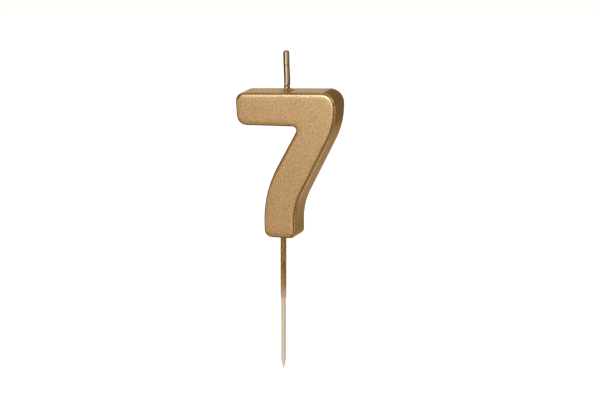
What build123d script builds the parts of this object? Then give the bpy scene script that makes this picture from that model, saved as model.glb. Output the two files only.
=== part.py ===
from build123d import *

import os
from math import pi, radians, sin, tan

# A number birthday candle: a figure seven cast in wax, dipped in gold lacquer, with a twisted cotton
# wick in the top of its arm and a wooden pick in its foot.
#
# The frame: the pick's axis is Z, and the origin is on it at the flat underside of the foot. +X is to
# the right as the figure is read, and +Y runs from its front face to its back face.

# ---- driving dimensions, in millimetres ----

# the figure as it is read from the front
figure_height = 57.5  # underside of the foot to the right-hand end of the top edge
figure_width = 40.35  # left end of the arm to the right side
figure_depth = 13.4  # front face to back face
rim_round = 1.2  # rounding all round the front and back faces
arm_overhang = 17.65  # pick's axis to the arm's upper left corner
top_rise = 1.85  # climb of the top edge, from the left end to the right side
arm_height = 12.6  # top edge to underside, at the left end
arm_height_at_neck = 13.25  # top edge to underside, where the arm meets the stem
end_lean = 0.95  # the left end's upper corner stands out past its lower one
neck_width = 14.85  # stem, level across where it leaves the arm
shoulder_drop = 13.45  # top edge to where the right side turns in
foot_width = 12.45  # underside of the foot, corner to corner
foot_overhang = 5.8  # pick's axis to the foot's left corner
left_ankle_height = 17.4  # foot to where the stem's left edge turns upright
left_ankle_bulge = 0.42  # the left edge stands out past the foot's corner there
right_ankle_height = 11.9  # foot to where the stem's right edge turns upright
right_ankle_tuck = 0.16  # the right edge stands in from the foot's corner there

# the figure's corners: a radius each, or for a long bend how far its arc reaches from the corner
top_right_radius = 5.4
top_left_radius = 3.4
under_left_radius = 3.8
notch_radius = 1.36
foot_left_radius = 3.0
foot_right_radius = 2.0
shoulder_reach = 7.2
right_ankle_reach = 6.0
left_ankle_reach = 11.5

# the lacquer, and the clearances that keep one piece out of the next
coat_wall = 0.2  # lacquer on the figure
film_gap = 0.01  # between a film of lacquer and what it covers
root_gap = 0.03  # round the wick and the pick, where the wax grips them

# the wick: strands laid round each other, stiffened by a sheath of lacquer
wick_from_axis = 1.3  # wick's axis to the right of the pick's
wick_height = 15.5  # top edge to the wick's cut end
wick_root = 8.0  # length of wick that the wax holds
strand_count = 3
strand_diameter = 0.915
strand_gap = 0.02
wick_lay = 11.5  # height in which a strand goes once round
sheath_wall = 0.11
sheath_groove = 0.25  # rounding in the grooves between the strands
strand_bare = 0.4  # cotton that stands out of the sheath at the cut end
collar_radius = 2.3  # lacquer pooled round the foot of the wick
collar_edge = 0.12  # thickness of the pool at its rim
collar_height = 0.9  # how far it climbs the wick
collar_shoulder = 0.2  # width of its top, outside the sheath

# the pick
pick_diameter = 1.9
pick_reach = 52.4  # foot to the tip of the point
pick_root = 12.6  # length of pick that the wax holds
point_length = 3.5
point_end = 0.25  # radius of the blunt tip
pick_coat_build = 0.18  # how far the lacquer stands out from the wood
pick_coat_length = 24.9  # foot to the dip line
pick_coat_fade = 4.4  # the last part of that, where the lacquer thins to nothing
pick_coat_edge = 0.03  # how far it still stands out at the dip line

# ---- sizes that follow from those ----

right_side = figure_width - arm_overhang
top_slope = top_rise / figure_width
neck_corner = right_side - neck_width
left_top_height = figure_height - top_rise
foot_right = foot_width - foot_overhang
strand_radius = strand_diameter / 2
strand_orbit = (strand_diameter + strand_gap) / (2 * sin(pi / strand_count))
wick_radius = strand_orbit + strand_radius
sheath_radius = wick_radius + sheath_wall
pick_radius = pick_diameter / 2
pick_coat_radius = pick_radius + pick_coat_build


def top_height(x):
    """Height of the figure's top edge, at a distance from the pick's axis."""
    return figure_height - top_slope * (right_side - x)


wick_foot = top_height(wick_from_axis)
wick_tip = wick_foot + wick_height
top_plane = Plane(origin=(wick_from_axis, 0, wick_foot), x_dir=(1, 0, top_slope), z_dir=(-top_slope, 0, 1))


# ---- the figure's outline ----

foot_left_corner = Vector(-foot_overhang, 0)
foot_right_corner = Vector(foot_right, 0)
right_ankle = Vector(foot_right - right_ankle_tuck, right_ankle_height)
shoulder = Vector(right_side, figure_height - shoulder_drop)
top_right = Vector(right_side, figure_height)
top_left = Vector(-arm_overhang, left_top_height)
under_left = Vector(end_lean - arm_overhang, left_top_height - arm_height)
notch = Vector(neck_corner, top_height(neck_corner) - arm_height_at_neck)
left_ankle = Vector(-foot_overhang - left_ankle_bulge, left_ankle_height)


def bend(before, corner, after, reach):
    """Radius of the arc that rounds a corner and meets each side `reach` away from it."""
    turn = (corner - before).get_angle(after - corner)
    return reach / tan(radians(turn) / 2)


outline = [
    (foot_left_corner, foot_left_radius),
    (foot_right_corner, foot_right_radius),
    (right_ankle, bend(foot_right_corner, right_ankle, shoulder, right_ankle_reach)),
    (shoulder, bend(right_ankle, shoulder, top_right, shoulder_reach)),
    (top_right, top_right_radius),
    (top_left, top_left_radius),
    (under_left, under_left_radius),
    (notch, notch_radius),
    (left_ankle, bend(notch, left_ankle, foot_left_corner, left_ankle_reach)),
]


def figure_form(inset):
    """The whole figure as one solid, drawn `inset` inside its finished surface."""
    corners = [corner for corner, _ in outline]
    radii = [radius for _, radius in outline]
    with BuildPart() as form:
        with BuildSketch(Plane.XZ) as face:
            with BuildLine():
                FilletPolyline(*corners, radius=radii, close=True)
            make_face()
            if inset:
                offset(amount=-inset)
        extrude(amount=figure_depth / 2 - inset, both=True)
        fillet(form.faces().filter_by(Axis.Y).edges(), rim_round - inset)
    return form.part


def wick_form(swell, bottom, top, groove=0.0):
    """The strands as one twisted solid between two heights, each strand swollen by `swell`."""
    with BuildPart() as form:
        with BuildSketch(Plane((wick_from_axis, 0, bottom))) as section:
            with PolarLocations(strand_orbit, strand_count, start_angle=360 * bottom / wick_lay):
                Circle(strand_radius + swell)
            Circle(strand_orbit)
            if groove:
                fillet(section.vertices(), groove)
        twist_along_wick(bottom, top)
    return form.part


def twist_along_wick(bottom, top):
    """Sweep the sketch in hand up the wick's axis, turning it once in every lay."""
    with BuildLine() as axis:
        Line((wick_from_axis, 0, bottom), (wick_from_axis, 0, top))
    with BuildLine() as guide:
        Helix(pitch=wick_lay, height=top - bottom, radius=wick_radius, center=(wick_from_axis, 0, bottom))
    sweep(path=axis.line, binormal=guide.edge())


# ---- wax core: the cast figure, with a blind hole for the wick's root and one for the pick's ----

skin = figure_form(0)
skin_inside = figure_form(coat_wall)
wax = figure_form(coat_wall + film_gap)

with BuildPart() as wax_core:
    add(wax)
    with BuildSketch(Plane((wick_from_axis, 0, wick_foot - wick_root))):
        Circle(wick_radius + root_gap)
    extrude(amount=wick_root, mode=Mode.SUBTRACT)
    with BuildSketch(Plane.XY):
        Circle(pick_radius + root_gap)
    extrude(amount=pick_root, mode=Mode.SUBTRACT)

# ---- gold coat: the lacquer skin all round the wax, open where the wick and the pick pass ----

with BuildPart() as gold_coat:
    add(skin)
    add(skin_inside, mode=Mode.SUBTRACT)
    with BuildSketch(Plane((wick_from_axis, 0, wick_foot))):
        Circle(wick_radius + root_gap)
    extrude(amount=coat_wall * 2, both=True, mode=Mode.SUBTRACT)
    with BuildSketch(Plane.XY):
        Circle(pick_coat_radius + film_gap)
    extrude(amount=coat_wall * 2, mode=Mode.SUBTRACT)

# ---- wick: three cotton strands, from their root in the wax to the cut end ----

wick_strands = []
for number in range(strand_count):
    root = wick_foot - wick_root
    with BuildPart() as wick_strand:
        with BuildSketch(Plane((wick_from_axis, 0, root))):
            turned = 360 * (root / wick_lay + number / strand_count)
            with PolarLocations(strand_orbit, 1, start_angle=turned):
                Circle(strand_radius)
        twist_along_wick(root, wick_tip)
    wick_strands.append(wick_strand)

# ---- wick coat: the stiff lacquer sheath on the part of the wick that stands clear of the figure ----

sheath_top = wick_tip - strand_bare
sheath_start = wick_foot - sheath_radius
sheath_outside = wick_form(sheath_wall, sheath_start, sheath_top, groove=sheath_groove)
sheath_inside = wick_form(film_gap, sheath_start, sheath_top)
collar_inside = wick_form(sheath_wall + film_gap, sheath_start, sheath_top, groove=sheath_groove)

with BuildPart() as wick_coat:
    add(sheath_outside)
    add(sheath_inside, mode=Mode.SUBTRACT)
    split(bisect_by=top_plane, keep=Keep.TOP)

# ---- wick collar: the lacquer that pooled round the foot of the wick ----

with BuildPart() as wick_collar:
    with BuildSketch(Plane((wick_from_axis, 0, wick_foot), x_dir=(1, 0, 0), z_dir=(0, -1, 0))):
        with BuildLine():
            rim = (collar_radius, collar_edge)
            lip = (sheath_radius + collar_shoulder, collar_height)
            Polyline((0, collar_height), (0, -collar_height), (collar_radius, -collar_height), rim)
            RadiusArc(rim, lip, collar_radius)
            Line(lip, (0, collar_height))
        make_face()
    revolve(axis=Axis((wick_from_axis, 0, 0), (0, 0, 1)))
    split(bisect_by=top_plane, keep=Keep.TOP)
    add(collar_inside, mode=Mode.SUBTRACT)

# ---- pick: a round stick with a short blunt point ----

with BuildPart() as pick:
    with BuildSketch(Plane.XZ):
        with BuildLine():
            Polyline(
                (0, pick_root),
                (pick_radius, pick_root),
                (pick_radius, point_length - pick_reach),
                (point_end, -pick_reach),
                (0, -pick_reach),
                close=True,
            )
        make_face()
    revolve(axis=Axis.Z)
    fillet(pick.faces().sort_by(Axis.Z)[0].edges(), point_end / 2)

# ---- pick coat: the lacquer on the upper part of the pick, thinning out at the dip line ----

with BuildPart() as pick_coat:
    with BuildSketch(Plane.XZ):
        with BuildLine():
            Polyline(
                (pick_radius + film_gap, coat_wall),
                (pick_coat_radius, 0),
                (pick_coat_radius, pick_coat_fade - pick_coat_length),
                (pick_radius + pick_coat_edge, -pick_coat_length),
                (pick_radius + film_gap, -pick_coat_length),
                close=True,
            )
        make_face()
    revolve(axis=Axis.Z)

# ---- write each piece ----

pieces = {
    "wax_core": wax_core,
    "gold_coat": gold_coat,
    "wick_coat": wick_coat,
    "wick_collar": wick_collar,
    "pick": pick,
    "pick_coat": pick_coat,
}
for number, wick_strand in enumerate(wick_strands, start=1):
    pieces[f"wick_strand_{number}"] = wick_strand

os.makedirs("parts", exist_ok=True)
for name, piece in pieces.items():
    piece.part.label = name
    export_step(piece.part, f"parts/{name}.step")
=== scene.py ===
# %% [markdown]
# # A number birthday candle on a wooden pick
# The candle is a figure seven cast in paraffin wax and dipped in gold lacquer. A twisted cotton wick stands
# in its top edge, stiff with the same lacquer, and a round wooden pick is glued into its foot.
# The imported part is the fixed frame: it says where each piece is and how large. This lesson puts a finished
# mesh in each piece's place.

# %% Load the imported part
from math import cos, pi, radians, sin

import bmesh
import bpy
import numpy as np
from mathutils import Matrix, Vector, noise


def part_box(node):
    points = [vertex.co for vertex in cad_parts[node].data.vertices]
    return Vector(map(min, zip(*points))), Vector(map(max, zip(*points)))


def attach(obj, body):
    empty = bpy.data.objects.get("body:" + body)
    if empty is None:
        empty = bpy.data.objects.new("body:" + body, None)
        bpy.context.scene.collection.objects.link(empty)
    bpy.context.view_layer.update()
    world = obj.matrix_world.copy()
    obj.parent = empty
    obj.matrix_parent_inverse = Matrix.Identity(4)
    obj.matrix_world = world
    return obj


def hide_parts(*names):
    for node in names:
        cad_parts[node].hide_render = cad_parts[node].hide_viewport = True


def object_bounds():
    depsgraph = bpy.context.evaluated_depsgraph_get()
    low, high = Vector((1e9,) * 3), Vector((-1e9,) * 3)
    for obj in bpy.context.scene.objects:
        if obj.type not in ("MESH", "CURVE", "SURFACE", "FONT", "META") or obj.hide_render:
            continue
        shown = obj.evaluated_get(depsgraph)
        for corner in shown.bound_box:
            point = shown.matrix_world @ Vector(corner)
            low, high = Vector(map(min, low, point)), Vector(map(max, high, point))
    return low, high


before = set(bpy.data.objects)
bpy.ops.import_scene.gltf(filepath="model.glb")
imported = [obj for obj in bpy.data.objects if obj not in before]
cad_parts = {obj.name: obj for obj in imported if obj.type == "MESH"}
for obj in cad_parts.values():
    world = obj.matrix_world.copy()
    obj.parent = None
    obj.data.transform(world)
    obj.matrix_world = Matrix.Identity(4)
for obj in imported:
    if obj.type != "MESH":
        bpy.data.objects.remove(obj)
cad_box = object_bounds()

print("nodes:", sorted(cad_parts))

# %% [markdown]
# ## Millimetres
# The frame is in metres, and the candle is small, so its sizes are easier to read in millimetres. Each mesh
# is built in millimetres, where the frame says the piece is, and is scaled to metres when it is finished.
# The object itself is never moved or scaled, so its place stays in its mesh.

# %% Where the pieces are
MM = 0.001


def box_mm(node):
    """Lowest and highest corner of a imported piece, in millimetres."""
    low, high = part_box(node)
    return low / MM, high / MM


figure_low, figure_high = box_mm("gold_coat")
strand_low, strand_high = box_mm("wick_strand_1")
sheath_low, sheath_high = box_mm("wick_coat")
pick_low, pick_high = box_mm("pick")
sleeve_low, sleeve_high = box_mm("pick_coat")

figure_half_depth = figure_high.y
wick_axis = ((sheath_low + sheath_high) / 2).x
wick_foot = sheath_low.z
wick_tip = strand_high.z
sheath_reach = sheath_high.x - wick_axis
print("figure from", figure_low, "to", figure_high)
print("wick stands on", round(wick_foot, 2), "and ends at", round(wick_tip, 2))

# %% [markdown]
# ## Camera
# A small product is drawn with little perspective by a long lens from far away. The camera stands to the
# candle's right and a little above it, so that the top edge and the right-hand side both show their depth.

# %% Camera
view_azimuth = radians(17.5)
view_elevation = radians(10.65)
view_distance = 1.9185
aim_offset = Vector((4.0, 0.0, 4.3)) * MM

towards_camera = Vector((
    sin(view_azimuth) * cos(view_elevation),
    -cos(view_azimuth) * cos(view_elevation),
    sin(view_elevation),
))
aim = (cad_box[0] + cad_box[1]) / 2 + aim_offset

camera_data = bpy.data.cameras.new("studio_camera")
camera_data.lens = 300
camera_data.sensor_width = 36
camera = bpy.data.objects.new("studio_camera", camera_data)
camera.location = aim + towards_camera * view_distance
camera.rotation_euler = towards_camera.to_track_quat("Z", "Y").to_euler()
bpy.context.scene.collection.objects.link(camera)
bpy.context.scene.camera = camera
bpy.context.scene.view_settings.view_transform = "Standard"
print("camera at", camera.location)

# %% [markdown]
# ## One function for every node
# Materials and Geometry Nodes are both trees of nodes. One small function adds a node, sets what it has to
# have set, and links what comes into it: a plain value, another node, or one of its sockets. Where sockets
# share a name, only one is in use. Colours are sRGB hex values, turned into the linear light nodes take.

# %% Adding a node


def input_of(node, key):
    """The input of a node with this number, or the one in use with this name."""
    if isinstance(key, int):
        return node.inputs[key]
    return next(socket for socket in node.inputs if socket.name == key and socket.enabled)


def add(tree, kind, inputs=None, **settings):
    """Add one node. `inputs` gives a value, a node or a socket for each input, by its name or number."""
    node = tree.nodes.new(kind)
    for name, value in settings.items():
        setattr(node, name, value)
    for key, value in (inputs or {}).items():
        if isinstance(value, bpy.types.Node):
            value = next(socket for socket in value.outputs if socket.enabled)
        if isinstance(value, bpy.types.NodeSocket):
            tree.links.new(value, input_of(node, key))
        else:
            input_of(node, key).default_value = value
    return node


def new_material(name):
    """An empty node material, ready for its nodes."""
    material = bpy.data.materials.new(name)
    material.use_nodes = True
    material.node_tree.nodes.clear()
    return material


def linear(colour):
    """An sRGB hex colour as the linear red, green, blue and alpha that a node takes."""
    channels = [int(colour[place:place + 2], 16) / 255 for place in (1, 3, 5)]
    return [c / 12.92 if c <= 0.04045 else ((c + 0.055) / 1.055) ** 2.4 for c in channels] + [1.0]


print("middle grey in linear light is", round(linear("#808080")[0], 3))

# %% [markdown]
# ## Floor
# The candle stands by itself on white paper that glows a little, so it stays an even white. It casts no
# shadow and isn't mirrored in the lacquer, as when a white table is hidden from a metal object by black card.

# %% Floor
floor_size = 8.0
floor_material = new_material("white_floor_paper")
tree = floor_material.node_tree
paper = add(tree, "ShaderNodeBsdfDiffuse", {"Color": linear("#f4f4f2")})
glow = add(tree, "ShaderNodeEmission", {"Color": linear("#ffffff"), "Strength": 0.8})
surface = add(tree, "ShaderNodeAddShader", {0: paper, 1: glow})
add(tree, "ShaderNodeOutputMaterial", {"Surface": surface})

floor_mesh = bpy.data.meshes.new("floor")
floor_form = bmesh.new()
bmesh.ops.create_grid(floor_form, x_segments=1, y_segments=1, size=floor_size / 2)
floor_form.to_mesh(floor_mesh)
floor_form.free()
floor_mesh.materials.append(floor_material)
floor = bpy.data.objects.new("floor", floor_mesh)
floor.location.z = cad_box[0].z
floor.visible_glossy = False
floor.visible_shadow = False
bpy.context.scene.collection.objects.link(floor)
print("floor at", round(floor.location.z / MM, 1), "mm")

# %% [markdown]
# ## Air
# What lies between the lights is what makes the edges of a metal object dark. Here it is a dim warm room for
# the lacquer to mirror, and white only where the camera itself looks past the floor.

# %% Air
air = bpy.data.worlds.new("studio_air")
air.use_nodes = True
tree = air.node_tree
tree.nodes.clear()
rays = add(tree, "ShaderNodeLightPath")
dim = add(tree, "ShaderNodeBackground", {"Color": linear("#ffe6ba"), "Strength": 0.205})
pale = add(tree, "ShaderNodeBackground", {"Color": linear("#ffffff"), "Strength": 1.0})
seen = add(tree, "ShaderNodeMixShader", {0: rays.outputs["Is Camera Ray"], 1: dim, 2: pale})
add(tree, "ShaderNodeOutputWorld", {"Surface": seen})
bpy.context.scene.world = air
print("air has", len(tree.nodes), "nodes")

# %% [markdown]
# ## Lights
# Satin lacquer shows its form by what it mirrors, so each light is a soft panel placed where one part of
# the figure looks. A panel is given by where it stands, seen from the figure, by its size, and by how bright
# it looks, which doesn't change when the panel is made larger or moved away.

# %% A soft panel
figure_centre = (figure_low + figure_high) / 2 * MM
panel_distance = 0.9


def softbox(name, azimuth, elevation, width, height, brightness, colour="#ffffff", distance=panel_distance):
    """A soft panel that faces the figure. Azimuth 0 is in front of it and 90 is on its right."""
    turn, lift = radians(azimuth), radians(elevation)
    towards_panel = Vector((sin(turn) * cos(lift), -cos(turn) * cos(lift), sin(lift)))
    light = bpy.data.lights.new(name, "AREA")
    light.shape = "RECTANGLE"
    light.size = width
    light.size_y = height
    light.energy = brightness * pi * width * height
    light.color = linear(colour)[:3]
    lamp = bpy.data.objects.new(name, light)
    lamp.location = figure_centre + towards_panel * distance
    lamp.rotation_euler = towards_panel.to_track_quat("Z", "Y").to_euler()
    lamp.visible_camera = False
    bpy.context.scene.collection.objects.link(lamp)


# %% [markdown]
# ## Where the panels stand
# The key panel is cool, so the highlight along the top edge is pale on warm gold. The panels in front light
# the face. Those low, on the right and behind light one wall or rim each, and most are a little warm. The
# gaps between them draw the dark line round the face.

# %% Panels
# name, azimuth and elevation in degrees, width and height in metres, brightness, colour
softbox("key_panel", -6, 17, 0.44, 0.54, 3.35, "#eaf0ff")
softbox("front_panel", -17, -11, 0.6, 0.3, 0.385, "#fff6e4")
softbox("top_front_panel", -16, 50, 0.9, 0.36, 0.35)
softbox("low_left_card", -30, -42, 0.6, 0.4, 0.5, "#fff2d8")
softbox("left_card", -52, -10, 0.46, 0.32, 0.6)
softbox("front_right_panel", 12, -7, 0.34, 0.2, 1.3)
softbox("front_near_card", -7.5, -1.5, 0.08, 0.08, 0.38, "#c8e6ff", distance=0.33)
softbox("right_panel", 104, -10, 0.35, 0.35, 1.0, "#fff2d8")
softbox("right_low_card", 100, -41, 0.6, 0.3, 0.55, "#fff2d8")
softbox("right_high_panel", 66, 36, 1.0, 0.44, 0.9)
softbox("overhead_panel", 180, 56, 1.2, 0.5, 0.6)
softbox("back_left_panel", -152, 12, 0.4, 0.4, 0.38, "#fffae6")
softbox("back_right_card", 168, -36, 0.5, 0.3, 1.15, "#ffecc0")
softbox("back_near_card", 166, -24, 0.16, 0.12, 0.16, "#fff3d8", distance=0.32)

# %% [markdown]
# ## Gold lacquer on the figure
# The figure was dipped in a clear lacquer full of fine bronze flakes. The flakes lie nearly flat, so it is a
# metal to the eye, but a satin one: a broad soft sheen, a fine grain of flakes turned a little each way, and
# a thin clear film over all. Metals keep the default index of refraction.
# Noise stays near its middle value, so only its middle part, from 0.35 to 0.65, is spread over the colours.

# %% Gold lacquer
noise_low = 0.35
noise_high = 0.65
gold_light = "#f0c995"
gold_deep = "#be9964"
gold_edge = "#ebcc90"
flake_grain = 0.55 * MM  # a real flake is 0.03 mm across and would not show, so this is a cluster of them
flake_lift = 0.06 * MM
cloud_size = 5.0 * MM

gold_lacquer = new_material("gold_lacquer_satin_dipped")
tree = gold_lacquer.node_tree
place = add(tree, "ShaderNodeTexCoord").outputs["Object"]
grain = add(tree, "ShaderNodeTexNoise", {
    "Vector": place, "Scale": 1 / flake_grain, "Detail": 2.0, "Roughness": 0.7,
})
spread = add(tree, "ShaderNodeMapRange", {"Value": grain, "From Min": noise_low, "From Max": noise_high})
tone = add(tree, "ShaderNodeMix", {
    "Factor": spread, "A": linear(gold_deep), "B": linear(gold_light),
}, data_type="RGBA")
clouds = add(tree, "ShaderNodeTexNoise", {"Vector": place, "Scale": 1 / cloud_size, "Detail": 2.0})
satin = add(tree, "ShaderNodeMapRange", {"Value": clouds, "To Min": 0.24, "To Max": 0.32})
relief = add(tree, "ShaderNodeBump", {"Height": grain, "Strength": 0.45, "Distance": flake_lift})
lacquer = add(tree, "ShaderNodeBsdfPrincipled", {
    "Base Color": tone, "Metallic": 1.0, "Roughness": satin, "Normal": relief,
    "Specular Tint": linear(gold_edge), "Coat Weight": 1.0, "Coat Roughness": 0.2,
})
add(tree, "ShaderNodeOutputMaterial", {"Surface": lacquer})
print(gold_lacquer.name, "has", len(tree.nodes), "nodes")

# %% [markdown]
# ## Gold lacquer on the wick
# The same lacquer, soaked into cotton and drawn off it, sets as a hard glossy sheath. On the crown of a
# strand it is a thin champagne film, all flakes. In the grooves and in the pool at the foot it lies thick,
# its flakes have sunk, and it is golden brown and less of a metal. Deep in the grooves and in the crease it
# is painted almost black, as shade. The meshes carry that thickness, with the painted shade, as a value from
# 0 to 1 at each point.

# %% Wick lacquer
thin_dark = "#e2c499"
thin_light = "#fdebcf"
thick_gold = "#c08d3e"
groove_and_crease_shade = "#241b0d"
drawn_size = 0.5 * MM
drawn_lift = 0.03 * MM
drawn_stretch = 0.2  # the streaks are five times as long as they are wide

wick_lacquer = new_material("gold_lacquer_glossy_on_cotton")
tree = wick_lacquer.node_tree
place = add(tree, "ShaderNodeTexCoord").outputs["Object"]
streaks = add(tree, "ShaderNodeMapping", {"Vector": place, "Scale": (1.0, 1.0, drawn_stretch)})
drawn = add(tree, "ShaderNodeTexNoise", {"Vector": streaks, "Scale": 1 / drawn_size, "Detail": 2.0})
tone = add(tree, "ShaderNodeMix", {
    "Factor": drawn, "A": linear(thin_dark), "B": linear(thin_light),
}, data_type="RGBA")
thick_and_shade = add(tree, "ShaderNodeAttribute", attribute_name="thick_and_shade").outputs["Fac"]
some = add(tree, "ShaderNodeMapRange", {"Value": thick_and_shade, "From Max": 0.5})
tone = add(tree, "ShaderNodeMix", {"Factor": some, "A": tone, "B": linear(thick_gold)}, data_type="RGBA")
# Above 0.5 the colour goes towards almost black: painted shade in the grooves and the crease.
painted_shade_share = add(tree, "ShaderNodeMapRange", {"Value": thick_and_shade, "From Min": 0.5})
tone = add(tree, "ShaderNodeMix", {"Factor": painted_shade_share, "A": tone, "B": linear(groove_and_crease_shade)}, data_type="RGBA")
flakes = add(tree, "ShaderNodeMapRange", {"Value": thick_and_shade, "From Max": 0.4, "To Min": 1.0, "To Max": 0.5})
relief = add(tree, "ShaderNodeBump", {"Height": drawn, "Strength": 0.15, "Distance": drawn_lift})
lacquer = add(tree, "ShaderNodeBsdfPrincipled", {
    "Base Color": tone, "Metallic": flakes, "Roughness": 0.34, "Normal": relief,
    "Coat Weight": 0.35, "Coat Roughness": 0.12,
})
add(tree, "ShaderNodeOutputMaterial", {"Surface": lacquer})
print(wick_lacquer.name, "has", len(tree.nodes), "nodes")

# %% [markdown]
# ## Wood of the pick
# A pick this thin is split birch or bamboo, pushed through a round die. Its fibres run the whole length, as
# fine pale and darker lines, and nothing seals it, so it is matt. Its right-hand side is painted darker, as
# shade. Just below the dip line it is stained by the lacquer, and near the point it is a little pinker, from
# being handled.

# %% Grain of the wood
fibre_size = 0.25 * MM
fibre_lift = 0.04 * MM
band_size = 0.9 * MM
grain_stretch = 0.03
fibre_dark = "#b3a88f"
fibre_light = "#dbd1bd"
band_dark = "#c8bba0"
band_light = "#ded6c6"

pick_wood = new_material("birch_pick_bare")
tree = pick_wood.node_tree
place = add(tree, "ShaderNodeTexCoord").outputs["Object"]
along = add(tree, "ShaderNodeMapping", {"Vector": place, "Scale": (1.0, 1.0, grain_stretch)})
fibres = add(tree, "ShaderNodeTexNoise", {"Vector": along, "Scale": 1 / fibre_size, "Detail": 4.0})
spread = add(tree, "ShaderNodeMapRange", {"Value": fibres, "From Min": 0.3, "From Max": 0.7})
fine = add(tree, "ShaderNodeMix", {
    "Factor": spread, "A": linear(fibre_dark), "B": linear(fibre_light),
}, data_type="RGBA")
bands = add(tree, "ShaderNodeTexNoise", {"Vector": along, "Scale": 1 / band_size, "Detail": 2.0})
broad = add(tree, "ShaderNodeMix", {
    "Factor": bands, "A": linear(band_dark), "B": linear(band_light),
}, data_type="RGBA")
tone = add(tree, "ShaderNodeMix", {"Factor": 0.5, "A": fine, "B": broad}, data_type="RGBA")
print("the grain has", len(tree.nodes), "nodes")

# %% [markdown]
# ## Painted shade, stain and handling
# Three soft changes of colour lie over the grain. Each follows a distance along the pick or across it.

# %% Wood
shaded_side_wood = "#a39678"
shaded_side_width = 0.9 * MM
stained_wood = "#c9b293"
stain_end = -27.5 * MM
handled_wood = "#cdbfb4"
handled_from = -45.0 * MM
handled_to = -49.0 * MM

spot = add(tree, "ShaderNodeSeparateXYZ", {"Vector": place}).outputs
# The right-hand side is painted darker, as shade.
shaded_side = add(tree, "ShaderNodeMapRange", {"Value": spot["X"], "From Max": shaded_side_width, "To Max": 0.4})
tone = add(tree, "ShaderNodeMix", {"Factor": shaded_side, "A": tone, "B": linear(shaded_side_wood)}, data_type="RGBA")
stained = add(tree, "ShaderNodeMapRange", {
    "Value": spot["Z"], "From Min": stain_end, "From Max": sleeve_low.z * MM, "To Max": 0.7,
})
tone = add(tree, "ShaderNodeMix", {"Factor": stained, "A": tone, "B": linear(stained_wood)}, data_type="RGBA")
handled = add(tree, "ShaderNodeMapRange", {
    "Value": spot["Z"], "From Min": handled_from, "From Max": handled_to, "To Max": 0.6,
})
tone = add(tree, "ShaderNodeMix", {"Factor": handled, "A": tone, "B": linear(handled_wood)}, data_type="RGBA")
relief = add(tree, "ShaderNodeBump", {"Height": fibres, "Strength": 0.5, "Distance": fibre_lift})
wood = add(tree, "ShaderNodeBsdfPrincipled", {
    "Base Color": tone, "Roughness": 0.72, "IOR": 1.5, "Normal": relief,
})
add(tree, "ShaderNodeOutputMaterial", {"Surface": wood})
print(pick_wood.name, "has", len(tree.nodes), "nodes")

# %% [markdown]
# ## Gold lacquer on the pick
# The pick was dipped too. The lacquer follows the fibres in long runs. Its left-hand side is painted darker,
# as shade, and it is paler towards the dip line, where there is less of it.

# %% Runs of the pick lacquer
run_size = 0.4 * MM
run_lift = 0.05 * MM
run_stretch = 0.25
run_dark = "#7a5d31"
run_light = "#bf9a60"
shaded_gold = "#5d4c28"
shade_from = -0.4 * MM
shade_to = -1.1 * MM
pale_gold = "#c2a26f"
pale_from = -12.5 * MM
pale_to = -19.5 * MM

pick_lacquer = new_material("gold_lacquer_on_birch")
tree = pick_lacquer.node_tree
place = add(tree, "ShaderNodeTexCoord").outputs["Object"]
spot = add(tree, "ShaderNodeSeparateXYZ", {"Vector": place}).outputs
along = add(tree, "ShaderNodeMapping", {"Vector": place, "Scale": (1.0, 1.0, run_stretch)})
runs = add(tree, "ShaderNodeTexNoise", {"Vector": along, "Scale": 1 / run_size, "Detail": 3.0})
spread = add(tree, "ShaderNodeMapRange", {"Value": runs, "From Min": noise_low, "From Max": noise_high})
gold = add(tree, "ShaderNodeMix", {
    "Factor": spread, "A": linear(run_dark), "B": linear(run_light),
}, data_type="RGBA")
# The left-hand side is painted darker, as shade.
shaded = add(tree, "ShaderNodeMapRange", {
    "Value": spot["X"], "From Min": shade_from, "From Max": shade_to, "To Max": 0.75,
})
gold = add(tree, "ShaderNodeMix", {"Factor": shaded, "A": gold, "B": linear(shaded_gold)}, data_type="RGBA")
paler = add(tree, "ShaderNodeMapRange", {
    "Value": spot["Z"], "From Min": pale_from, "From Max": pale_to, "To Max": 0.6,
})
gold = add(tree, "ShaderNodeMix", {"Factor": paler, "A": gold, "B": linear(pale_gold)}, data_type="RGBA")
print("the runs have", len(tree.nodes), "nodes")

# %% [markdown]
# ## How the pick lacquer ends
# At the dip line it thins over a few millimetres, until only a pinkish tint of it is left on the wood. Where
# the gold is gone, so are the metal and the gloss. The runs make the end ragged.

# %% Pick lacquer
faded_dark = "#9d8468"
faded_light = "#bda386"
bare_wood = "#c4b496"
fade_start = -18.6 * MM
fade_end = -22.8 * MM
bare_start = -23.6 * MM
fade_ragged = 2.0 * MM

evenly = add(tree, "ShaderNodeMath", {0: runs, 1: -0.5}, operation="ADD")
level = add(tree, "ShaderNodeMath", {0: evenly, 1: fade_ragged, 2: spot["Z"]}, operation="MULTIPLY_ADD")
left = add(tree, "ShaderNodeMapRange", {
    "Value": level, "From Min": fade_end, "From Max": fade_start,
}, interpolation_type="SMOOTHSTEP")
faded = add(tree, "ShaderNodeMix", {
    "Factor": spread, "A": linear(faded_dark), "B": linear(faded_light),
}, data_type="RGBA")
tone = add(tree, "ShaderNodeMix", {"Factor": left, "A": faded, "B": gold}, data_type="RGBA")
bare = add(tree, "ShaderNodeMapRange", {
    "Value": level, "From Min": bare_start, "From Max": sleeve_low.z * MM, "To Max": 0.75,
}, interpolation_type="SMOOTHSTEP")
tone = add(tree, "ShaderNodeMix", {"Factor": bare, "A": tone, "B": linear(bare_wood)}, data_type="RGBA")
matt = add(tree, "ShaderNodeMapRange", {"Value": left, "To Min": 0.6, "To Max": 0.36})
flakes = add(tree, "ShaderNodeMapRange", {"Value": left, "To Max": 0.75})
relief = add(tree, "ShaderNodeBump", {"Height": runs, "Strength": 0.5, "Distance": run_lift})
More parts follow.
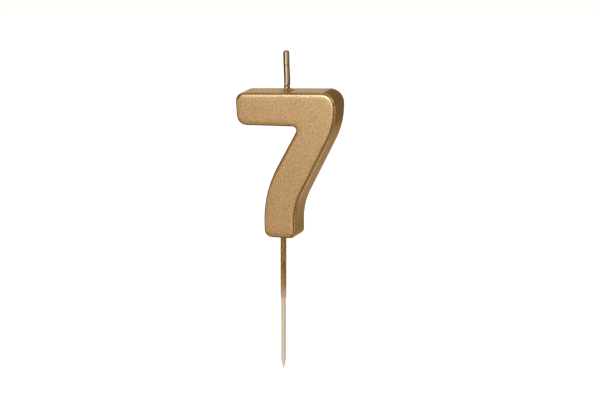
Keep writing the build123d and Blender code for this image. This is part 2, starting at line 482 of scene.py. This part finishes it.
lacquer = add(tree, "ShaderNodeBsdfPrincipled", {
    "Base Color": tone, "Metallic": flakes, "Roughness": matt, "Normal": relief,
})
add(tree, "ShaderNodeOutputMaterial", {"Surface": lacquer})
print(pick_lacquer.name, "has", len(tree.nodes), "nodes")

# %% [markdown]
# ## Cotton
# The cut end of the wick shows bare cotton yarn, greyed by wax and lacquer. It is matt and a little fuzzy,
# which a weak sheen gives.

# %% Cotton
yarn_size = 0.12 * MM
yarn_lift = 0.05 * MM
yarn_dark = "#6d6250"
yarn_light = "#b9b2a0"

wick_cotton = new_material("cotton_yarn_waxed")
tree = wick_cotton.node_tree
place = add(tree, "ShaderNodeTexCoord").outputs["Object"]
yarn = add(tree, "ShaderNodeTexNoise", {"Vector": place, "Scale": 1 / yarn_size, "Detail": 3.0})
spread = add(tree, "ShaderNodeMapRange", {"Value": yarn, "From Min": noise_low, "From Max": noise_high})
tone = add(tree, "ShaderNodeMix", {
    "Factor": spread, "A": linear(yarn_dark), "B": linear(yarn_light),
}, data_type="RGBA")
relief = add(tree, "ShaderNodeBump", {"Height": yarn, "Strength": 0.6, "Distance": yarn_lift})
cotton = add(tree, "ShaderNodeBsdfPrincipled", {
    "Base Color": tone, "Roughness": 0.8, "Sheen Weight": 0.3, "Normal": relief,
})
add(tree, "ShaderNodeOutputMaterial", {"Surface": cotton})
print(wick_cotton.name, "has", len(tree.nodes), "nodes")

# %% [markdown]
# ## Wax
# The wax core hardly shows at all. It is cast paraffin, milky and a little see-through, so some light goes
# into it and comes out again near by.

# %% Wax
milk_size = 3.0 * MM
light_reach = 2.0 * MM
milk_dark = "#e9e2cf"
milk_light = "#f6f2e6"

paraffin = new_material("paraffin_wax_cast")
tree = paraffin.node_tree
place = add(tree, "ShaderNodeTexCoord").outputs["Object"]
milk = add(tree, "ShaderNodeTexNoise", {"Vector": place, "Scale": 1 / milk_size, "Detail": 2.0})
tone = add(tree, "ShaderNodeMix", {
    "Factor": milk, "A": linear(milk_dark), "B": linear(milk_light),
}, data_type="RGBA")
wax = add(tree, "ShaderNodeBsdfPrincipled", {
    "Base Color": tone, "Roughness": 0.4, "IOR": 1.44,
    "Subsurface Weight": 0.3, "Subsurface Scale": light_reach,
})
add(tree, "ShaderNodeOutputMaterial", {"Surface": wax})
print(paraffin.name, "has", len(tree.nodes), "nodes")

# %% [markdown]
# ## Finishing a mesh
# Every piece goes through the same last steps: its mesh is scaled to metres, its soft edges are shaded
# smooth and its hard ones stay sharp, it gets its material, and it is handed over to the frame.

# %% Handing a piece over
hard_edge = radians(42)


def as_object(name, mesh):
    """Put a mesh in the scene as an object at the origin."""
    made = bpy.data.objects.new(name, mesh)
    bpy.context.scene.collection.objects.link(made)
    return made


def plain_mesh(source):
    """The mesh that an object's modifiers give, as a mesh of its own."""
    bpy.context.view_layer.update()
    evaluated = source.evaluated_get(bpy.context.evaluated_depsgraph_get())
    return bpy.data.meshes.new_from_object(evaluated)


def hand_over(name, mesh, material, slot, *nodes):
    """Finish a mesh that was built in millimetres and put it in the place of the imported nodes."""
    mesh.transform(Matrix.Scale(MM, 4))
    mesh.shade_smooth()
    mesh.set_sharp_from_angle(angle=hard_edge)
    mesh.materials.clear()
    mesh.materials.append(material)
    piece = as_object(name, mesh)
    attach(piece, "root")
    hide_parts(*nodes)
    triangles = sum(len(face.vertices) - 2 for face in mesh.polygons)
    print(name, "has", triangles, "triangles")


# %% [markdown]
# ## Rings into a mesh
# The figure, the pool, the pick and its sleeve are all rows of rings. One function joins each ring to the
# next. The ends are closed by a flat face each, or, where the form goes round a hollow, by joining the last
# ring to the first.

# %% Rings into a mesh


def ring_mesh(name, rings, hollow=False):
    """A closed mesh through these rings of points."""
    form = bmesh.new()
    rows = [[form.verts.new(point) for point in ring] for ring in rings]
    pairs = list(zip(rows, rows[1:]))
    if hollow:
        pairs.append((rows[-1], rows[0]))
    for row, nxt in pairs:
        for i in range(len(row)):
            j = (i + 1) % len(row)
            form.faces.new((row[i], row[j], nxt[j], nxt[i]))
    if not hollow:
        form.faces.new(rows[0])
        form.faces.new(rows[-1])
    bmesh.ops.recalc_face_normals(form, faces=form.faces)
    mesh = bpy.data.meshes.new(name)
    form.to_mesh(mesh)
    form.free()
    return mesh


# %% [markdown]
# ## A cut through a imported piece
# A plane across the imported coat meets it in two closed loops, one on its outside and one on its inside. The
# edges of the cut come in no order, so each loop is walked from point to neighbouring point. The points are
# kept in a dictionary and not a set, because it gives them in the same order in every run.

# %% Cutting a piece through
weld_distance = 0.0005


def cut_loops(node, depth):
    """The closed loops, in order round each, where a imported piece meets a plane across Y."""
    form = bmesh.new()
    form.from_mesh(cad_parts[node].data)
    form.transform(Matrix.Scale(1 / MM, 4))
    bmesh.ops.remove_doubles(form, verts=form.verts, dist=weld_distance)
    everything = form.verts[:] + form.edges[:] + form.faces[:]
    bmesh.ops.bisect_plane(
        form, geom=everything, plane_co=(0, depth, 0), plane_no=(0, 1, 0), clear_inner=True, clear_outer=True
    )
    loops, left_over = [], dict.fromkeys(form.verts)
    while left_over:
        vert = left_over.popitem()[0]
        loop = [vert.co.xz]
        while True:
            ahead = [e.other_vert(vert) for e in vert.link_edges if e.other_vert(vert) in left_over]
            if not ahead:
                break
            vert = ahead[0]
            left_over.pop(vert)
            loop.append(vert.co.xz)
        loops.append(np.array(loop))
    form.free()
    return loops


wall_cut = 0.5 * figure_half_depth
loops = cut_loops("gold_coat", wall_cut)
print("the cut gives loops of", [len(loop) for loop in loops], "points")

# %% [markdown]
# ## The figure's outline
# The longer of the two loops is the figure's outline. Its points are spaced out evenly and eased a little,
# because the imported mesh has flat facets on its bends. The sign of its area tells which side is outside.

# %% Outline
outline_step = 0.25
ease_rounds = 6


def lengths_round(loop):
    """The distance from each point of a closed loop to the next one."""
    return np.linalg.norm(np.roll(loop, -1, axis=0) - loop, axis=1)


def even_loop(loop, step):
    """The same closed loop with evenly spaced points."""
    ahead = np.concatenate([[0], np.cumsum(lengths_round(loop))])
    closed = np.vstack([loop, loop[:1]])
    stops = np.linspace(0, ahead[-1], int(ahead[-1] / step), endpoint=False)
    return np.column_stack([np.interp(stops, ahead, closed[:, axis]) for axis in (0, 1)])


outline = max(loops, key=lambda loop: lengths_round(loop).sum())
outline = even_loop(outline, outline_step)
for _ in range(ease_rounds):
    outline = outline / 2 + (np.roll(outline, 1, axis=0) + np.roll(outline, -1, axis=0)) / 4

tangent = np.roll(outline, -1, axis=0) - np.roll(outline, 1, axis=0)
tangent /= np.linalg.norm(tangent, axis=1)[:, None]
x, z = outline.T
area = np.sum(x * np.roll(z, -1) - np.roll(x, -1) * z) / 2
outwards = np.column_stack([tangent[:, 1], -tangent[:, 0]]) * np.sign(area)
print("outline has", len(outline), "points and is", round(float(lengths_round(outline).sum()), 1), "mm round")

# %% [markdown]
# ## The figure's form
# Rows of that outline are stacked from the front face to the back. In the rims, each row is drawn in from
# its neighbour along a quarter circle. The two flat faces close the form.

# %% Figure form
rim_round = 1.2
rim_rows = 14

turns = [radians(90 * row / rim_rows) for row in range(rim_rows + 1)]
front_rim = [(rim_round * (1 - sin(t)), rim_round * (1 - cos(t)) - figure_half_depth) for t in turns]
back_rim = [(inset, -depth) for inset, depth in reversed(front_rim)]

rings = []
for inset, depth in front_rim + back_rim:
    drawn_in = outline - outwards * inset
    rings.append([(x, depth, z) for x, z in drawn_in])
exact_figure = as_object("exact_figure", ring_mesh("exact_figure", rings))
print("the form's rows give", len(exact_figure.data.polygons), "faces")

# %% [markdown]
# ## Even squares
# The form is remeshed into small even squares that are pulled back onto it, so that every part of it can
# carry the gentle unevenness of a dipped coat. A coarser copy will be the inside of the skin.

# %% Even squares
skin_grid = 0.34
inside_grid = 0.9
soften_rounds = 2


def on_form(name, grid):
    """The exact figure again, as a mesh of even squares."""
    copy = as_object(name, exact_figure.data.copy())
    remesh = copy.modifiers.new("even_squares", "REMESH")
    remesh.mode = "VOXEL"
    remesh.voxel_size = grid
    cling = copy.modifiers.new("cling", "SHRINKWRAP")
    cling.target = exact_figure
    cling.wrap_method = "NEAREST_SURFACEPOINT"
    soften = copy.modifiers.new("soften", "SMOOTH")
    soften.factor = 0.5
    soften.iterations = soften_rounds
    mesh = plain_mesh(copy)
    bpy.data.objects.remove(copy)
    return mesh


outer = on_form("outer", skin_grid)
inner = on_form("inner", inside_grid)
print("squares outside and inside:", len(outer.polygons), "and", len(inner.polygons))

# %% [markdown]
# ## The unevenness of a dipped coat
# A dipped coat is never quite flat: slow shallow waves lie all over it, with quicker ones between. Lacquer
# also draws away from an edge as it sets, so the flat faces fall off a little towards their rims. Everything
# only dips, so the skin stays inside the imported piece.

# %% Waves and crown
slow_wave = 4.5
slow_depth = 0.045
slow_seed = 3.7
quick_wave = 1.3
quick_depth = 0.02
quick_seed = 8.1
crown_reach = 3.2
crown_drop = 0.12


def read_points(source, key):
    """Three numbers for each item of a mesh, such as its place, as rows of an array."""
    values = np.empty(len(source) * 3, np.float32)
    source.foreach_get(key, values)
    return values.reshape(-1, 3)


def press_in(mesh, spots, facing, depths):
    """Move each point of a mesh into it by its own depth."""
    moved = spots - facing * depths
    mesh.vertices.foreach_set("co", moved.astype(np.float32).ravel())


def wave(point, size, seed):
    """Smooth noise from 0 to 1. Each seed gives another pattern."""
    return noise.noise(Vector(point) / size + Vector((seed, seed, seed))) / 2 + 0.5


def from_outline(points):
    """How far points lie inside the outline, as the figure is read from the front."""
    flat = points[:, [0, 2]]
    return np.array([np.linalg.norm(outline - spot, axis=1).min() for spot in flat])


spots = read_points(outer.vertices, "co")
facing = read_points(outer.vertex_normals, "vector")
dips = np.array([
    slow_depth * wave(spot, slow_wave, slow_seed) + quick_depth * wave(spot, quick_wave, quick_seed)
    for spot in spots
])
to_rim = np.clip(1 - from_outline(spots) / crown_reach, 0, None)
dips += crown_drop * np.abs(facing[:, 1]) * to_rim ** 2
press_in(outer, spots, facing, dips[:, None])
print("the coat dips up to", round(float(dips.max()), 3), "mm")

# %% [markdown]
# ## The wall of the skin
# The coarser copy is pressed in by the coat's thickness and turned inside out. The two together are a real
# skin with a wall, that the wax fits into.

# %% Wall of the skin
coat_wall = 0.2

spots = read_points(inner.vertices, "co")
facing = read_points(inner.vertex_normals, "vector")
press_in(inner, spots, facing, coat_wall)
inner.flip_normals()

both = bmesh.new()
both.from_mesh(outer)
both.from_mesh(inner)
skin_mesh = bpy.data.meshes.new("skin")
both.to_mesh(skin_mesh)
both.free()
skin = as_object("skin", skin_mesh)
print("the skin has", len(skin_mesh.polygons), "squares")

# %% [markdown]
# ## Holes for the wick and the pick
# The wick and the pick were in the wax before it was dipped, so the coat closes round them, with a hair's
# breadth of room.

# %% Holes
packed_sheath_wall = 0.11
strand_reach = sheath_reach - packed_sheath_wall
wick_room = 0.03
pick_room = 0.01
drill_depth = 2.0
drill_sides = 72


def drill(target, centre, radius):
    """Cut a round upright hole through a mesh. It gives the drill bit, to be cleared away after the cut."""
    form = bmesh.new()
    bmesh.ops.create_cone(
        form, cap_ends=True, segments=drill_sides, radius1=radius, radius2=radius, depth=drill_depth,
        matrix=Matrix.Translation(centre),
    )
    mesh = bpy.data.meshes.new("drill")
    form.to_mesh(mesh)
    form.free()
    bit = as_object("drill", mesh)
    cut = target.modifiers.new("hole", "BOOLEAN")
    cut.operation = "DIFFERENCE"
    cut.solver = "MANIFOLD"
    cut.object = bit
    return bit


bits = [
    drill(skin, (wick_axis, 0, wick_foot), strand_reach + wick_room),
    drill(skin, (0, 0, 0), sleeve_high.x + pick_room),
]
skin_mesh = plain_mesh(skin)
for scrap in [skin, exact_figure, *bits]:
    bpy.data.objects.remove(scrap)
hand_over("figure_skin", skin_mesh, gold_lacquer, "gold_lacquer", "gold_coat")

# %% [markdown]
# ## The laid wick
# Three strands are laid round each other and stiffened by lacquer. Each strand, and the sheath over them, is
# a bar that is drawn out, shaped and turned by the same rule, so Geometry Nodes make all of them from one
# recipe: a plain cylinder's points are moved to where the laid wick has them. The strands run almost upright,
# and turn quickly only at the foot, where the wick was twisted as it was set in the soft wax.

# %% Bend and turn of the wick
# share of the height, from the foot to the cut end: millimetres aside, and share of the whole turn
bend_points = [(0.0, 0.0), (0.09, 0.12), (0.25, 0.20), (0.5, 0.06), (0.75, -0.10), (1.0, -0.14)]
turn_points = [(0.0, 0.0), (0.085, 0.13), (0.19, 0.93), (0.28, 0.97), (0.6, 0.98), (1.0, 1.0)]


def bend_to(curve, points):
    """Give a Float Curve node these points."""
    line = curve.mapping.curves[0]
    for spot, (x, y) in enumerate(points):
        if spot < len(line.points):
            line.points[spot].location = (x, y)
        else:
            line.points.new(x, y)
    curve.mapping.use_clip = False
    curve.mapping.update()


# %% [markdown]
# ## The bar
# The recipe begins with a cylinder one unit long and one in radius, so each point's X and Y say where it is
# in the section, and its Z how far up it is. From these come its angle, its real height, and its share of
# the height of the wick.

# %% Bar
bar_end = 0.5
number_inputs = [
    "Bottom", "Top", "Foot", "Tip", "Axis X", "Start Turn", "Whole Turn", "Orbit", "Radius", "Lobes",
    "Groove", "Seam", "Crease Height", "Crease", "Lumps", "Ragged",
]

strand_tree = bpy.data.node_groups.new("laid_strand", "GeometryNodeTree")
tree = strand_tree
for label in ("Around", "Rows"):
    tree.interface.new_socket(name=label, in_out="INPUT", socket_type="NodeSocketInt")
for label in number_inputs:
    tree.interface.new_socket(name=label, in_out="INPUT", socket_type="NodeSocketFloat")
tree.interface.new_socket(name="Material", in_out="INPUT", socket_type="NodeSocketMaterial")
tree.interface.new_socket(name="Geometry", in_out="OUTPUT", socket_type="NodeSocketGeometry")

given = add(tree, "NodeGroupInput").outputs
bar = add(tree, "GeometryNodeMeshCylinder", {
    "Vertices": given["Around"], "Side Segments": given["Rows"], "Radius": 1.0, "Depth": 2 * bar_end,
}, fill_type="TRIANGLE_FAN")
at = add(tree, "ShaderNodeSeparateXYZ", {"Vector": add(tree, "GeometryNodeInputPosition")}).outputs
angle = add(tree, "ShaderNodeMath", {0: at["Y"], 1: at["X"]}, operation="ARCTAN2")
height = add(tree, "ShaderNodeMapRange", {
    "Value": at["Z"], "From Min": -bar_end, "From Max": bar_end,
    "To Min": given["Bottom"], "To Max": given["Top"],
})
share = add(tree, "ShaderNodeMapRange", {
    "Value": height, "From Min": given["Foot"], "From Max": given["Tip"],
})
print("the recipe takes", len(given) - 1, "inputs")

# %% [markdown]
# ## Across the bar
# A cosine of the angle goes up and down once for each lobe. Raised to a power, its low side is a groove
# between two lobes. Its high side, turned a little and raised much further, is a hair-fine seam.

# %% Grooves and seams
groove_sharpness = 5.0
seam_sharpness = 80.0
seam_turn = radians(14)

lobes = add(tree, "ShaderNodeMath", {0: angle, 1: given["Lobes"]}, operation="MULTIPLY")
crown = add(tree, "ShaderNodeMath", {0: lobes}, operation="COSINE")
hollow = add(tree, "ShaderNodeMapRange", {"Value": crown, "From Min": 1.0, "From Max": -1.0})
groove = add(tree, "ShaderNodeMath", {0: hollow, 1: groove_sharpness}, operation="POWER")
groove_cut = add(tree, "ShaderNodeMath", {0: groove, 1: given["Groove"]}, operation="MULTIPLY")

turned = add(tree, "ShaderNodeMath", {0: angle, 1: seam_turn}, operation="SUBTRACT")
lobes = add(tree, "ShaderNodeMath", {0: turned, 1: given["Lobes"]}, operation="MULTIPLY")
crown = add(tree, "ShaderNodeMath", {0: lobes}, operation="COSINE")
near = add(tree, "ShaderNodeMapRange", {"Value": crown, "From Min": -1.0, "From Max": 1.0})
seam = add(tree, "ShaderNodeMath", {0: near, 1: seam_sharpness}, operation="POWER")
seam_cut = add(tree, "ShaderNodeMath", {0: seam, 1: given["Seam"]}, operation="MULTIPLY")
print("seams lie", round(seam_turn * 180 / pi), "degrees from the crowns")

# %% [markdown]
# ## Along the bar
# The wick was bent once before the lacquer set, and has a crease there: a bell curve of the height. Noise
# gives the lumps where lacquer gathered. It is read on the straight bar, so it follows the strand.

# %% Crease and lumps
crease_height = 66.4
crease_width = 0.2
lump_scale = 0.9

above = add(tree, "ShaderNodeMath", {0: height, 1: given["Crease Height"]}, operation="SUBTRACT")
widths = add(tree, "ShaderNodeMath", {0: above, 1: crease_width}, operation="DIVIDE")
squared = add(tree, "ShaderNodeMath", {0: widths, 1: widths}, operation="MULTIPLY")
falling = add(tree, "ShaderNodeMath", {0: squared, 1: -1.0}, operation="MULTIPLY")
crease = add(tree, "ShaderNodeMath", {0: falling}, operation="EXPONENT")
crease_cut = add(tree, "ShaderNodeMath", {0: crease, 1: given["Crease"]}, operation="MULTIPLY")

on_bar = add(tree, "ShaderNodeCombineXYZ", {"X": at["X"], "Y": at["Y"], "Z": height})
lumps = add(tree, "ShaderNodeTexNoise", {"Vector": on_bar, "Scale": lump_scale, "Detail": 2.0})
lump_cut = add(tree, "ShaderNodeMath", {0: lumps, 1: given["Lumps"]}, operation="MULTIPLY")

radius = given["Radius"]
for cut in (groove_cut, seam_cut, crease_cut, lump_cut):
    radius = add(tree, "ShaderNodeMath", {0: radius, 1: cut}, operation="SUBTRACT")
print("the crease is", round(crease_height - wick_foot, 1), "mm above the wick's foot")

# %% [markdown]
# ## Where each point goes
# A point's X and Y, times the radius that the cuts leave, place it in the strand's section. The orbit moves
# the section off the wick's axis, the turn takes it round that axis, and the bend carries it aside. Near the
# cut end noise pulls points down, which frays it.

# %% Place
fray_scale = 1.6
fray_start = 0.47

turned = add(tree, "ShaderNodeFloatCurve", {"Value": share})
bend_to(turned, turn_points)
turn = add(tree, "ShaderNodeMath", {
    0: turned, 1: given["Whole Turn"], 2: given["Start Turn"],
}, operation="MULTIPLY_ADD")
out = add(tree, "ShaderNodeMath", {0: at["X"], 1: radius, 2: given["Orbit"]}, operation="MULTIPLY_ADD")
across = add(tree, "ShaderNodeMath", {0: at["Y"], 1: radius}, operation="MULTIPLY")
section = add(tree, "ShaderNodeCombineXYZ", {"X": out, "Y": across})
laid = add(tree, "ShaderNodeVectorRotate", {"Vector": section, "Angle": turn}, rotation_type="Z_AXIS")

fray = add(tree, "ShaderNodeTexNoise", {"Vector": laid, "Scale": fray_scale, "Detail": 3.0})
near_top = add(tree, "ShaderNodeMapRange", {
    "Value": at["Z"], "From Min": fray_start, "From Max": bar_end, "To Max": given["Ragged"],
})
drop = add(tree, "ShaderNodeMath", {0: fray, 1: near_top}, operation="MULTIPLY")
level = add(tree, "ShaderNodeMath", {0: height, 1: drop}, operation="SUBTRACT")

bent = add(tree, "ShaderNodeFloatCurve", {"Value": share})
bend_to(bent, bend_points)
aside = add(tree, "ShaderNodeMath", {0: given["Axis X"], 1: bent}, operation="ADD")
axis = add(tree, "ShaderNodeCombineXYZ", {"X": aside, "Z": level})
spot = add(tree, "ShaderNodeVectorMath", {0: laid, 1: axis}, operation="ADD")
print("the top", round((bar_end - fray_start) * 100), "percent of a bar is frayed")

# %% [markdown]
# ## How thick the lacquer lies, and where shade is painted
# Lacquer is thick in the grooves, along a seam and in the crease, and deep in the grooves and in the crease
# it is painted dark as shade. The finish reads both as the value `thick_and_shade` at each point. It is
# stored while the bar is still straight, because moving the points changes what the angle and the height are
# read from. The sheath's recipe is the same, with open ends.

# %% Wick recipes
groove_fill_and_shade_from = 0.42
groove_fill_and_shade_to = 0.68
seam_fill = 0.5
crease_thick_and_shade_level = 0.85

# The grooves and the crease reach past 0.5, which the finish paints almost black, as shade.
groove_thick_and_shade = add(tree, "ShaderNodeMapRange", {"Value": hollow, "From Min": groove_fill_and_shade_from, "From Max": groove_fill_and_shade_to})
line = add(tree, "ShaderNodeMath", {0: seam, 1: seam_fill}, operation="MULTIPLY")
crease_thick_and_shade = add(tree, "ShaderNodeMath", {0: crease, 1: crease_thick_and_shade_level}, operation="MULTIPLY")
thick_and_shade = add(tree, "ShaderNodeMath", {0: groove_thick_and_shade, 1: line}, operation="MAXIMUM")
thick_and_shade = add(tree, "ShaderNodeMath", {0: thick_and_shade, 1: crease_thick_and_shade}, operation="MAXIMUM")
told = add(tree, "GeometryNodeStoreNamedAttribute", {
    "Geometry": bar, "Name": "thick_and_shade", "Value": thick_and_shade,
}, data_type="FLOAT", domain="POINT")
moved = add(tree, "GeometryNodeSetPosition", {"Geometry": told, "Position": spot})
real = add(tree, "GeometryNodeRealizeInstances", {"Geometry": moved})
coated = add(tree, "GeometryNodeSetMaterial", {"Geometry": real, "Material": given["Material"]})
add(tree, "NodeGroupOutput", {"Geometry": coated})

sheath_tree = strand_tree.copy()
sheath_tree.name = "lacquer_sheath"
sheath_tree.nodes[bar.name].fill_type = "NONE"
print("each recipe has", len(tree.nodes), "nodes")

# %% [markdown]
# ## Strands
# A recipe is followed once for each piece, with that piece's numbers. Each strand starts deep in the wax and
# ends bare at the cut end. Its own yarns show as ridges.

# %% Strands
strand_count = 3
strand_radius = 0.4575
strand_orbit = strand_reach - strand_radius
strand_around = 48
strand_rows = 220
start_turn = radians(13.7)
whole_turn = radians(160)
cut_end_gap = 0.02
yarn_count = 8.0
yarn_groove = 0.035
yarn_lumps = 0.01
yarn_ragged = 0.25


def made_by(tree, name, values):
    """The plain mesh that a tree gives for these named inputs."""
    holder = as_object(name, bpy.data.meshes.new(name))
    recipe = holder.modifiers.new("recipe", "NODES")
    recipe.node_group = tree
    for socket in tree.interface.items_tree:
        if socket.name in values:
            recipe[socket.identifier] = values[socket.name]
    mesh = plain_mesh(holder)
    bpy.data.objects.remove(holder)
    return mesh


shared = {
    "Foot": wick_foot, "Tip": wick_tip, "Axis X": wick_axis, "Whole Turn": whole_turn,
    "Crease Height": crease_height,
}
for number in range(strand_count):
    mesh = made_by(strand_tree, f"wick_ply_{number + 1}", {
        **shared, "Around": strand_around, "Rows": strand_rows,
        "Bottom": strand_low.z, "Top": strand_high.z - cut_end_gap,
        "Start Turn": start_turn + 2 * pi * number / strand_count, "Orbit": strand_orbit,
        "Radius": strand_radius, "Lobes": yarn_count, "Groove": yarn_groove, "Seam": 0.0, "Crease": 0.0,
        "Lumps": yarn_lumps, "Ragged": yarn_ragged, "Material": wick_cotton,
    })
    hand_over(f"wick_ply_{number + 1}", mesh, wick_cotton, "wick_cotton", f"wick_strand_{number + 1}")

# %% [markdown]
# ## Sheath
# The lacquer over the strands is thin and brittle. It fills the grooves between them to a soft line, it has a
# crease where the wick was once bent, and its upper edge is ragged. The tree gives its outside, and Solidify
# gives it a wall.

# %% Sheath
sheath_around = 96
sheath_rows = 260
sheath_wall = 0.1
cut_allowance = 0.08
strand_groove = 0.13
seam_depth = 0.03
crease_depth = 0.05
sheath_lumps = 0.03
sheath_ragged = 0.35

sheath = as_object("sheath", made_by(sheath_tree, "sheath_outside", {
    **shared, "Around": sheath_around, "Rows": sheath_rows, "Bottom": wick_foot, "Top": sheath_high.z,
    "Start Turn": start_turn, "Orbit": 0.0, "Radius": sheath_reach + cut_allowance,
    "Lobes": float(strand_count), "Groove": strand_groove, "Seam": seam_depth, "Crease": crease_depth,
    "Lumps": sheath_lumps, "Ragged": sheath_ragged, "Material": wick_lacquer,
}))
wall = sheath.modifiers.new("wall", "SOLIDIFY")
wall.thickness = sheath_wall
wall.offset = -1.0
sheath_mesh = plain_mesh(sheath)
bpy.data.objects.remove(sheath)
hand_over("wick_sheath", sheath_mesh, wick_lacquer, "wick_lacquer", "wick_coat")

# %% [markdown]
# ## Pool
# As the candle was dipped, lacquer ran down the wick and set in a small pool that thins to nothing on the top
# edge. It climbs the wick in a hollow curve, highest on the right side and not at all on the left. It ran
# further to the right and along the depth of the figure, and its rim wanders.

# %% Shape of the pool
pool_lap = 0.08
pool_left = 2.5
pool_right = 3.8
pool_deep = 4.4
rim_least = 0.88
rim_spread = 0.24
rim_wave = 0.7
rim_seed = 5.3
pool_height = 1.2
climb_curve = 3.0
climb_least = 0.7
climb_spread = 0.6
climb_wave = 0.8
climb_seed = 2.2
pool_film = 0.035
film_curve = 6
pool_inner = sheath_reach - pool_lap
top_slope = (figure_high.z - wick_foot) / (figure_high.x - wick_axis)


def top_edge(x):
    """Height of the figure's top edge at this X."""
    return wick_foot + top_slope * (x - wick_axis)


def pool_point(turn, share):
    """A point of the pool's surface, from the wick (share 0) to the rim (share 1)."""
    aside = Vector((cos(turn), sin(turn), 0))
    side = pool_right if cos(turn) > 0 else pool_left
    rim = 1 / ((cos(turn) / side) ** 2 + (sin(turn) / pool_deep) ** 2) ** 0.5
    rim *= rim_least + rim_spread * wave(aside, rim_wave, rim_seed)
    reach = pool_inner + (rim - pool_inner) * share
    on_right = 0.5 + 0.5 * cos(turn)
    climb = pool_height * (1 - share) ** climb_curve * on_right
    climb *= climb_least + climb_spread * wave(aside, climb_wave, climb_seed)
    film = pool_film * (1 - share ** film_curve)
    x = wick_axis + reach * cos(turn)
    return Vector((x, reach * sin(turn), top_edge(x) + climb + film))


print("the pool stands", round(pool_point(0.0, 0.0).z - wick_foot, 2), "mm up the wick on its right")

# %% [markdown]
# ## The pool as a mesh
# Its surface is a row of rings from the wick out to the rim. Two more, sunk into the figure's skin, close it
# underneath. It carries the thickness that the finish reads, least at the rim.

# %% Pool
pool_around = 120
pool_rows = 18
pool_sunk = 0.06
pool_thick = 0.5
rim_thinner = 0.25
thin_curve = 4

turns = [2 * pi * step / pool_around for step in range(pool_around)]
rings = [[pool_point(turn, row / pool_rows) for turn in turns] for row in range(pool_rows + 1)]
for ring in (rings[-1], rings[0]):
    rings.append([Vector((p.x, p.y, top_edge(p.x) - pool_sunk)) for p in ring])
pool = ring_mesh("pool", rings, hollow=True)
thickness = []
for row in range(len(rings)):
    share = min(1.0, row / pool_rows)
    thickness += [pool_thick - rim_thinner * share ** thin_curve] * pool_around
pool.attributes.new("thick_and_shade", "FLOAT", "POINT").data.foreach_set("value", thickness)
hand_over("wick_pool", pool, wick_lacquer, "wick_lacquer", "wick_collar")

# %% [markdown]
# ## Pick
# The stick is round but not smooth: its fibres stand up in fine ridges that run its whole length, and the
# point was cut on a sharpener and is a little blunt. It is made of rings, with a rule that says how far the
# surface lies below the ring at each place.

# %% Pick
pick_around = 72
pick_radius = pick_high.x
pick_step = 0.8
point_length = 3.5
point_rings = 9
point_curve = 1.15
point_end = 0.22
point_round = 0.12
fibre_depth = 0.05
fibre_width = 0.3
fibre_stretch = 30
fibre_seed = 1.9


def around(radius, height, relief=None):
    """One ring of a turned form. `relief` says how far the surface lies below the radius at each turn."""
    ring = []
    for step in range(pick_around):
        turn = 2 * pi * step / pick_around
        reach = radius - relief(turn, height) if relief else radius
        ring.append(Vector((reach * cos(turn), reach * sin(turn), height)))
    return ring


def fibre_relief(turn, height):
    """The wood's fibres, which fade out along the point."""
    taper = min(1.0, max(0.0, (height - pick_low.z) / point_length))
    spot = (cos(turn) * pick_radius, sin(turn) * pick_radius, height / fibre_stretch)
    return fibre_depth * taper * wave(spot, fibre_width, fibre_seed)


point_top = pick_low.z + point_length
pick_rows = [(height, pick_radius) for height in np.arange(pick_high.z, point_top, -pick_step)]
for share in np.linspace(0, 1, point_rings):
    height = pick_low.z + point_round + (point_length - point_round) * (1 - share)
    pick_rows.append((height, pick_radius + (point_end - pick_radius) * share ** point_curve))
pick_rows.append((pick_low.z, point_end / 2))

stick = ring_mesh("pick", [around(radius, height, fibre_relief) for height, radius in pick_rows])
hand_over("pick_stick", stick, pick_wood, "pick_wood", "pick")

# %% [markdown]
# ## Lacquer on the pick
# The sleeve of lacquer is thick enough to hide the fibres but not to lie smooth. It has long runs and small
# lumps. Both fade out where it thins, at the dip line, and where it meets the foot of the figure.

# %% Pick sleeve
sleeve_radius = sleeve_high.x
sleeve_step = 0.3
dip_thin = 4.4
dip_edge = 0.03
dip_curve = 3
foot_thin = 1.0
lump_stretch = 3
broad_depth = 0.08
broad_size = 0.7
broad_seed = 4.4
small_depth = 0.06
small_size = 0.3
small_seed = 6.6
middle_depth = (broad_depth + small_depth) / 2


def sleeve_relief(turn, height):
    """The lacquer's runs and lumps, as much above its radius as below it."""
    spot = Vector((cos(turn) * sleeve_radius, sin(turn) * sleeve_radius, height / lump_stretch))
    lumps = broad_depth * wave(spot, broad_size, broad_seed)
    lumps += small_depth * wave(spot, small_size, small_seed)
    fade = min(1.0, (height - sleeve_low.z) / dip_thin, (sleeve_high.z - height) / foot_thin)
    return (lumps - middle_depth) * fade


thin_radius = pick_radius + dip_edge
rings = []
for height in [*np.arange(sleeve_high.z, sleeve_low.z, -sleeve_step), sleeve_low.z]:
    thinned = max(0.0, 1 - (height - sleeve_low.z) / dip_thin)
    radius = sleeve_radius + (thin_radius - sleeve_radius) * thinned ** dip_curve
    rings.append(around(radius, height, sleeve_relief))
for height in (sleeve_low.z, sleeve_high.z):
    rings.append(around(pick_radius, height))
sleeve = ring_mesh("sleeve", rings, hollow=True)
hand_over("pick_sleeve", sleeve, pick_lacquer, "pick_lacquer", "pick_coat")

# %% [markdown]
# ## Wax core
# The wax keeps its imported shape, because the skin covers it. It gets its own finish.

# %% Wax core
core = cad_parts["wax_core"]
core.data.materials.clear()
core.data.materials.append(paraffin)
print("the wax core has", len(core.data.polygons), "faces")
